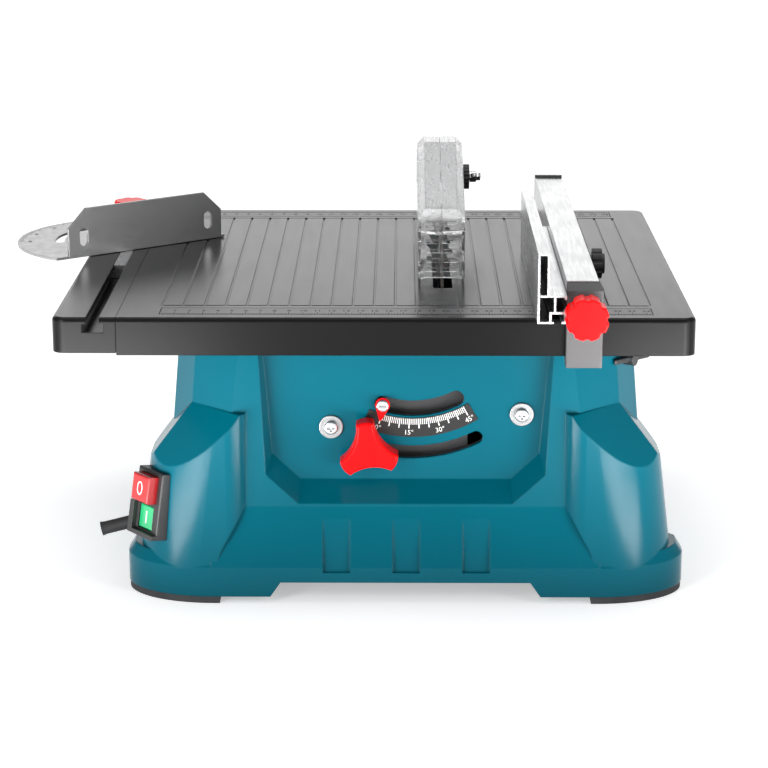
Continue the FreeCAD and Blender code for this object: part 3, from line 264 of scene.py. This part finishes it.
def diamond_rim(name):
    """Diamond grit in a metal bond: a fine cell pattern."""
    m = Mat(name, Metallic=0.7)
    grit = m.add("ShaderNodeTexVoronoi", feature="F1")
    grit.inputs["Scale"].default_value = 1500.0
    m.link(m.coords, grit.inputs["Vector"])
    tones = [(0.1, (0.30, 0.28, 0.24)), (0.7, (0.10, 0.095, 0.09))]
    m.set("Base Color", m.colours(grit.outputs["Distance"], tones))
    m.set("Roughness", m.span(m.noise(300.0), 0.5, 0.75))
    m.bump([(grit.outputs["Distance"], 0.2)])
    return m.mat


def mitre_sheet(name):
    """Grey sheet steel with painted shade: faces that look up are painted a little darker than its upright
    plate, to stand in for how light falls on them.
    """
    m = Mat(name, Metallic=1.0)
    up = m.add("ShaderNodeSeparateXYZ")
    m.link(m.add("ShaderNodeNewGeometry").outputs["Normal"], up.inputs[0])
    stain = m.noise(14.0, 5.0, rough=0.6)
    # painted shade: the colour follows which way a face looks, upward faces darker and the upright plate
    # lighter, with a faint stain mixed in
    height = m.join(up.outputs["Z"], m.join(stain, 0.08, "MULTIPLY"))
    m.set("Base Color", m.colours(height, [(0.2, (0.50, 0.50, 0.505)), (0.9, (0.42, 0.42, 0.425))]))
    lines = m.noise(900.0, 3.0, (0.25, 0.25, 1.0))
    m.set("Roughness", m.span(lines, 0.34, 0.46))
    m.bump([(lines, 0.004)], 0.5)
    return m.mat


RED = (0.80, 0.004, 0.005)
TEAL = (0.0, 0.090, 0.128)
TABLE_BLACK = (0.003, 0.003, 0.0032)
STEEL = (0.56, 0.57, 0.58)
ALUMINIUM = (0.56, 0.565, 0.57)

teal = moulded("teal_housing", TEAL, rough=0.20, grain=0.006, edge=1.6, mottle=0.05, specular=0.12)
TABLE_COAT = {"rough": 0.26, "edge": 1.0, "peel": 0.02, "specular": 0.16, "scuff": 0.05}
table_black = powder_coat("table_black", TABLE_BLACK, **TABLE_COAT)
extension_black = powder_coat("extension_black", TABLE_BLACK, **TABLE_COAT)
fastener = metal("zinc_fastener", STEEL, rough=0.32, depth=0.01, edge=0.3)
red_knob = moulded("knob_red", RED, rough=0.30, grain=0.01, edge=0.8, specular=0.08)
satin_black = moulded("satin_black_plastic", (0.018, 0.018, 0.019), rough=0.42, grain=0.05, edge=0.5)
foot_rubber = rubber("foot_rubber", (0.035, 0.036, 0.038))
alu_y = metal("aluminium_extrusion", ALUMINIUM, rough=0.30, grain=(1.0, 0.03, 1.0), depth=0.004,
              edge=0.25, tarnish=0.02)
bracket_grey = powder_coat("bracket_grey", (0.060, 0.060, 0.062), rough=0.45, edge=0.8, peel=0.05)
guard_clear = clear_plastic("guard_clear")
plated = metal("plated_sheet", (0.62, 0.63, 0.65), rough=0.3, grain=(0.3, 1.0, 0.3), edge=0.3)
paint_black = powder_coat("carrier_paint", (0.030, 0.030, 0.032), rough=0.45, edge=0.6)
cast = metal("cast_aluminium", (0.62, 0.63, 0.64), rough=0.48, grain_scale=700.0, depth=0.06, edge=0.8)
mitre_steel_painted_shade = mitre_sheet("mitre_sheet")

LOOKS = {
    "base_housing": teal,
    "table_top": table_black,
    "side_extension": extension_black,
    "angle_scale": moulded("scale_label", (0.006, 0.006, 0.006), rough=0.35, grain=0.004, edge=0.2),
    "switch_body": moulded("switch_case", (0.022, 0.022, 0.023), rough=0.38, grain=0.03, edge=0.6),
    "stop_button": moulded("stop_red", (0.36, 0.012, 0.014), rough=0.22, grain=0.005, coat=0.2, edge=0.8),
    "start_button": moulded("start_green", (0.010, 0.36, 0.13), rough=0.2, grain=0.005, coat=0.4, edge=0.6),
    "cord_sleeve": rubber("sleeve_rubber", (0.016, 0.016, 0.017), 0.6),
    "water_tray": moulded("tray_plastic", (0.02, 0.02, 0.021), rough=0.4, grain=0.03, edge=0.8),
    "drain_plug": rubber("plug_rubber"),
    "side_wing_screw": satin_black,
    "run_capacitor": metal("capacitor_case", (0.75, 0.75, 0.76), rough=0.35, grain=(1.0, 0.05, 1.0)),
    "capacitor_clip": plated,
    "trunnion_washers": metal("washer_zinc", (0.36, 0.365, 0.37), rough=0.36, depth=0.01, edge=0.3),
    "front_trunnion_plate": paint_black,
    "rear_trunnion_plate": paint_black,
    "carrier_frame": paint_black,
    "tilt_pointer": red_knob,
    "tilt_knob": red_knob,
    "fence_knob": red_knob,
    "mitre_knob": red_knob,
    "motor_shell": cast,
    "motor_end_cap": cast,
    "stator_core": laminated("stator_lamination", (0.42, 0.42, 0.44)),
    "rotor_core": laminated("rotor_lamination", (0.45, 0.45, 0.46)),
    "stator_windings": windings("copper_wire"),
    "cooling_fan": satin_black,
    "blade_core": metal("blade_steel", (0.50, 0.51, 0.53), rough=0.26, grain=(1.0, 1.0, 0.08), edge=0.0),
    "blade_rim": diamond_rim("diamond_rim"),
    "riving_knife": plated,
    "guard_left": guard_clear,
    "guard_right": guard_clear,
    "guard_washer": satin_black,
    "guard_wing_nut": metal("wing_nut_chrome", (0.85, 0.85, 0.86), rough=0.12, edge=0.6, tarnish=0.03),
    "fence_rail": alu_y,
    "fence_face": alu_y,
    "fence_front_bracket": bracket_grey,
    "fence_rear_hook": bracket_grey,
    "face_knob": satin_black,
    "mitre_bar": metal("mitre_bar_steel", (0.60, 0.60, 0.61), rough=0.33, grain=(1.0, 0.04, 1.0)),
    "mitre_head": mitre_steel_painted_shade,
}
for node_name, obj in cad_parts.items():
    if node_name.startswith("foot_") and node_name != "foot_screws":
        look = foot_rubber
    else:
        look = LOOKS.get(node_name, fastener)
    for index in range(len(obj.data.materials)):
        obj.data.materials[index] = look
    if not obj.data.materials:
        obj.data.materials.append(look)


# ---- printed marks ----
INK_BLACK = printed("ink_black", (0.002, 0.002, 0.002), 0.8, 0.0)
INK_WHITE = printed("ink_white", (0.80, 0.80, 0.78))
STRIP_GREY = printed("ruler_strip", (0.055, 0.055, 0.056), 0.36, 0.4)


def flat_mesh(name, quads, material, body):
    """A mesh of separate flat polygons, given as lists of points in the row frame."""
    mesh = bpy.data.meshes.new(name)
    points, faces = [], []
    for quad in quads:
        faces.append(tuple(range(len(points), len(points) + len(quad))))
        points.extend(quad)
    mesh.from_pydata([tuple(p) for p in points], [], faces)
    mesh.materials.append(material)
    obj = bpy.data.objects.new(name, mesh)
    bpy.context.scene.collection.objects.link(obj)
    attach(obj, body)
    return obj


def text_polygons(text, height):
    """The filled outlines of a short text as polygons in its own plane, in mm, centred on x."""
    curve = bpy.data.curves.new("glyphs", "FONT")
    curve.body = text
    curve.size = height
    curve.align_x = "CENTER"
    curve.align_y = "CENTER"
    curve.resolution_u = 3
    obj = bpy.data.objects.new("glyphs", curve)
    bpy.context.scene.collection.objects.link(obj)
    bpy.context.view_layer.update()
    mesh = bpy.data.meshes.new_from_object(obj)
    flat = [Vector((v.co.x, v.co.y)) for v in mesh.vertices]
    polygons = [[flat[i] for i in p.vertices] for p in mesh.polygons]
    bpy.data.objects.remove(obj)
    bpy.data.meshes.remove(mesh)
    bpy.data.curves.remove(curve)
    return polygons


def bar2d(x0, y0, x1, y1):
    """A rectangle's four corners."""
    return [Vector((x0, y0)), Vector((x1, y0)), Vector((x1, y1)), Vector((x0, y1))]


def table_ruler(name, y_near, y_far, flip):
    """Ruler strip across the table: outline, ticks every 2 mm and a number each centimetre."""
    half = RULER_HALF
    z = TABLE_TOP + PRINT_LIFT
    start, sign = (y_far, -1) if flip else (y_near, 1)
    corners = ((-half, y_near), (half, y_near), (half, y_far), (-half, y_far))
    strip = [at(x, y, z - 0.03) for x, y in corners]
    flat_mesh(name + "_strip", [strip], STRIP_GREY, "base")
    line = 0.3
    marks = [bar2d(-half, y - line, half, y + line) for y in (y_near, y_far)]
    marks += [bar2d(x - line, y_near - line, x + line, y_far + line) for x in (-half, half)]
    for k in range(1, int(2 * half / RULER_STEP)):
        x = -half + RULER_STEP * k
        long = 5.5 if k % 5 == 0 else 3.0
        y0, y1 = sorted((start, start + sign * long))
        marks.append(bar2d(x - 0.28, y0, x + 0.28, y1))
    for k in range(1, int(2 * half / 10) + 1):
        x = -half + 10.0 * k
        for polygon in text_polygons(str(k), 6.0):
            marks.append([Vector((p.x + x, p.y + start + sign * 10.5)) for p in polygon])
    quads = [[at(p.x, p.y, z) for p in polygon] for polygon in marks]
    flat_mesh(name + "_marks", quads, INK_BLACK, "base")


table_ruler("front_ruler", -187.0, -168.0, False)
table_ruler("rear_ruler", 168.0, 187.0, True)


def on_scale(radius, degrees):
    """A point on the angle scale's face, from the tilt axis, with 0 straight down."""
    a = math.radians(degrees)
    return at(PIVOT_X + radius * math.sin(a), SCALE_FACE_Y - PRINT_LIFT, PIVOT_Z - radius * math.cos(a))


def angle_scale_marks():
    """A mark each degree from 0 to 45, and a number each 15 degrees."""
    quads = []
    for k in range(0, 46):
        outer = SCALE_INNER + (7.2 if k % 5 == 0 else 4.3)
        half_wide = 0.26 if k % 5 else 0.36
        a = SCALE_START + k
        turn = math.degrees(half_wide / 77.0)
        ends = ((SCALE_INNER, a - turn), (outer, a - turn), (outer, a + turn), (SCALE_INNER, a + turn))
        quads.append([on_scale(r, degrees) for r, degrees in ends])
    face_y = SCALE_FACE_Y - PRINT_LIFT
    for value in (0, 15, 30, 45):
        a = math.radians(SCALE_START + value)
        for polygon in text_polygons(str(value) + "°", 5.0):
            points = []
            for p in polygon:
                r = SCALE_TEXT - p.y
                x = PIVOT_X + r * math.sin(a) + p.x * math.cos(a)
                points.append(at(x, face_y, PIVOT_Z - r * math.cos(a) + p.x * math.sin(a)))
            quads.append(points)
    flat_mesh("angle_scale_marks", quads, INK_WHITE, "base")


angle_scale_marks()


def mitre_marks():
    """Degree marks and numbers round the protractor's edge."""
    turn = math.radians(MITRE_ANGLE)
    quads = []

    def place(p):
        x = p.x * math.cos(turn) - p.y * math.sin(turn)
        y = p.x * math.sin(turn) + p.y * math.cos(turn)
        return at(MITRE_X + x, MITRE_Y + y, MITRE_FACE_Z + PRINT_LIFT)

    for k in range(-PROTRACTOR_SPAN, PROTRACTOR_SPAN + 1, 2):
        a = math.radians(90 + k)
        long = 5.0 if k % 10 == 0 else 3.0
        out = Vector((math.cos(a), math.sin(a)))
        side = Vector((-out.y, out.x)) * 0.22
        outer, inner = out * PROTRACTOR_R, out * (PROTRACTOR_R - long)
        quads.append([place(p) for p in (outer - side, outer + side, inner + side, inner - side)])
        if k % 20 == 0:
            along = Vector((out.y, -out.x))
            for polygon in text_polygons(str(abs(k)), 4.5):
                quads.append([place(out * (PROTRACTOR_TEXT + p.y) + along * p.x) for p in polygon])
    flat_mesh("mitre_marks", quads, INK_BLACK, "mitre_head")


mitre_marks()


def switch_point(x, y, z):
    """A point in the switch's own frame (its face at x = 0, looking along -x) in the row frame."""
    lean = Matrix.Rotation(math.radians(SWITCH_LEAN), 3, "Y")
    turn = Matrix.Rotation(math.radians(SWITCH_TURN), 3, "Z")
    p = turn @ (lean @ Vector((x, y, z)))
    return at(SWITCH_AT[0] + p.x, SWITCH_AT[1] + p.y, SWITCH_AT[2] + p.z)


def ring_quads(x, cy, cz, ry, rz, width, count=28):
    """A flat oval ring on the switch, as quads."""
    quads = []
    for k in range(count):
        a0, a1 = (2 * math.pi * (k + j) / count for j in (0, 1))
        quads.append([
            switch_point(x, cy + ry * math.cos(a0), cz + rz * math.sin(a0)),
            switch_point(x, cy + ry * math.cos(a1), cz + rz * math.sin(a1)),
            switch_point(x, cy + (ry - width) * math.cos(a1), cz + (rz - width) * math.sin(a1)),
            switch_point(x, cy + (ry - width) * math.cos(a0), cz + (rz - width) * math.sin(a0)),
        ])
    return quads


STOP_FACE, START_FACE = -8.0, 0.5   # the buttons' faces along the switch's own axis
stop_ring = ring_quads(STOP_FACE - PRINT_LIFT, 0.0, 11.2, 3.4, 5.0, 1.0)
flat_mesh("stop_symbol", stop_ring, INK_WHITE, "stop_button")
bar = [switch_point(START_FACE - PRINT_LIFT, p.x, p.y) for p in bar2d(-0.7, -15.0, 0.7, -6.0)]
flat_mesh("start_symbol", [bar], INK_WHITE, "start_button")


# ---- floor, lights and camera ----
FLOOR_HALF = 12.0
VIEW_MIDDLE_X = 0.048          # the camera's view is centred on this x
WORLD_STRENGTH, FLOOR_GLOW = 0.36, 0.42
FOCAL_PIXELS, PICTURE_PIXELS, SENSOR = 2415.0, 768.0, 36.0
CAMERA_DOWN, CAMERA_TURN = 15.02, 0.38   # degrees


def make_floor():
    """A plain pale floor that glows a little, so that it stays white."""
    mesh = bpy.data.meshes.new("floor")
    h = FLOOR_HALF
    mesh.from_pydata([(-h, -h, 0), (h, -h, 0), (h, h, 0), (-h, h, 0)], [], [(0, 1, 2, 3)])
    m = Mat("floor_paper", Specular_IOR_Level=0.0, Emission_Color=(1.0, 1.0, 1.0, 1.0),
            Emission_Strength=FLOOR_GLOW)
    m.set("Base Color", m.colours(m.noise(3.0, 3.0), [(0.3, (0.94, 0.94, 0.94)), (0.7, (0.96, 0.96, 0.96))]))
    m.set("Roughness", m.span(m.noise(400.0), 0.85, 0.95))
    mesh.materials.append(m.mat)
    floor = bpy.data.objects.new("floor", mesh)
    bpy.context.scene.collection.objects.link(floor)


def area_light(name, place, target, size, power):
    """A white rectangular light that faces its target."""
    data = bpy.data.lights.new(name, "AREA")
    data.shape = "RECTANGLE"
    data.size, data.size_y = size
    data.energy = power
    lamp = bpy.data.objects.new(name, data)
    bpy.context.scene.collection.objects.link(lamp)
    lamp.location = place
    lamp.rotation_euler = (Vector(target) - Vector(place)).to_track_quat("-Z", "Y").to_euler()
    return lamp


def floor_strip(name, side, power):
    """A light that lies on the floor beside the camera's view and shines up."""
    place = (VIEW_MIDDLE_X + side * 0.402, -0.60, 0.004)
    lamp = area_light(name, place, (0.0, 0.0, 1.0), (0.35, 0.63), power)
    lamp.rotation_euler = (math.pi, 0.0, math.radians(-9.4 * side))
    lamp.visible_camera = False


make_floor()
scene = bpy.context.scene
world = bpy.data.worlds.new("studio")
world.use_nodes = True
background = world.node_tree.nodes["Background"]
background.inputs["Color"].default_value = (1.0, 1.0, 1.0, 1.0)
background.inputs["Strength"].default_value = WORLD_STRENGTH
scene.world = world
scene.view_settings.view_transform = "Standard"
centre = (0.05, 0.0, 0.12)
area_light("front_left", (-1.15, -1.75, 0.75), centre, (0.5, 1.3), 20)
area_light("front_right", (1.5, -1.4, 0.8), centre, (0.35, 1.2), 8)
area_light("top", (0.0, 0.2, 2.3), centre, (2.4, 1.8), 24)
floor_strip("floor_right", 1, 16)
floor_strip("floor_left", -1, 16)
area_light("behind", (0.05, 4.6, 1.35), centre, (5.6, 1.7), 44)

camera_data = bpy.data.cameras.new("camera")
camera_data.sensor_width = SENSOR
camera_data.lens = SENSOR * FOCAL_PIXELS / PICTURE_PIXELS
camera_data.clip_start, camera_data.clip_end = 0.05, 60.0
camera = bpy.data.objects.new("camera", camera_data)
scene.collection.objects.link(camera)
camera.location = at(-4.5, -1823.5, 605.0)
camera.rotation_euler = (math.radians(90.0 - CAMERA_DOWN), 0.0, math.radians(CAMERA_TURN))
scene.camera = camera
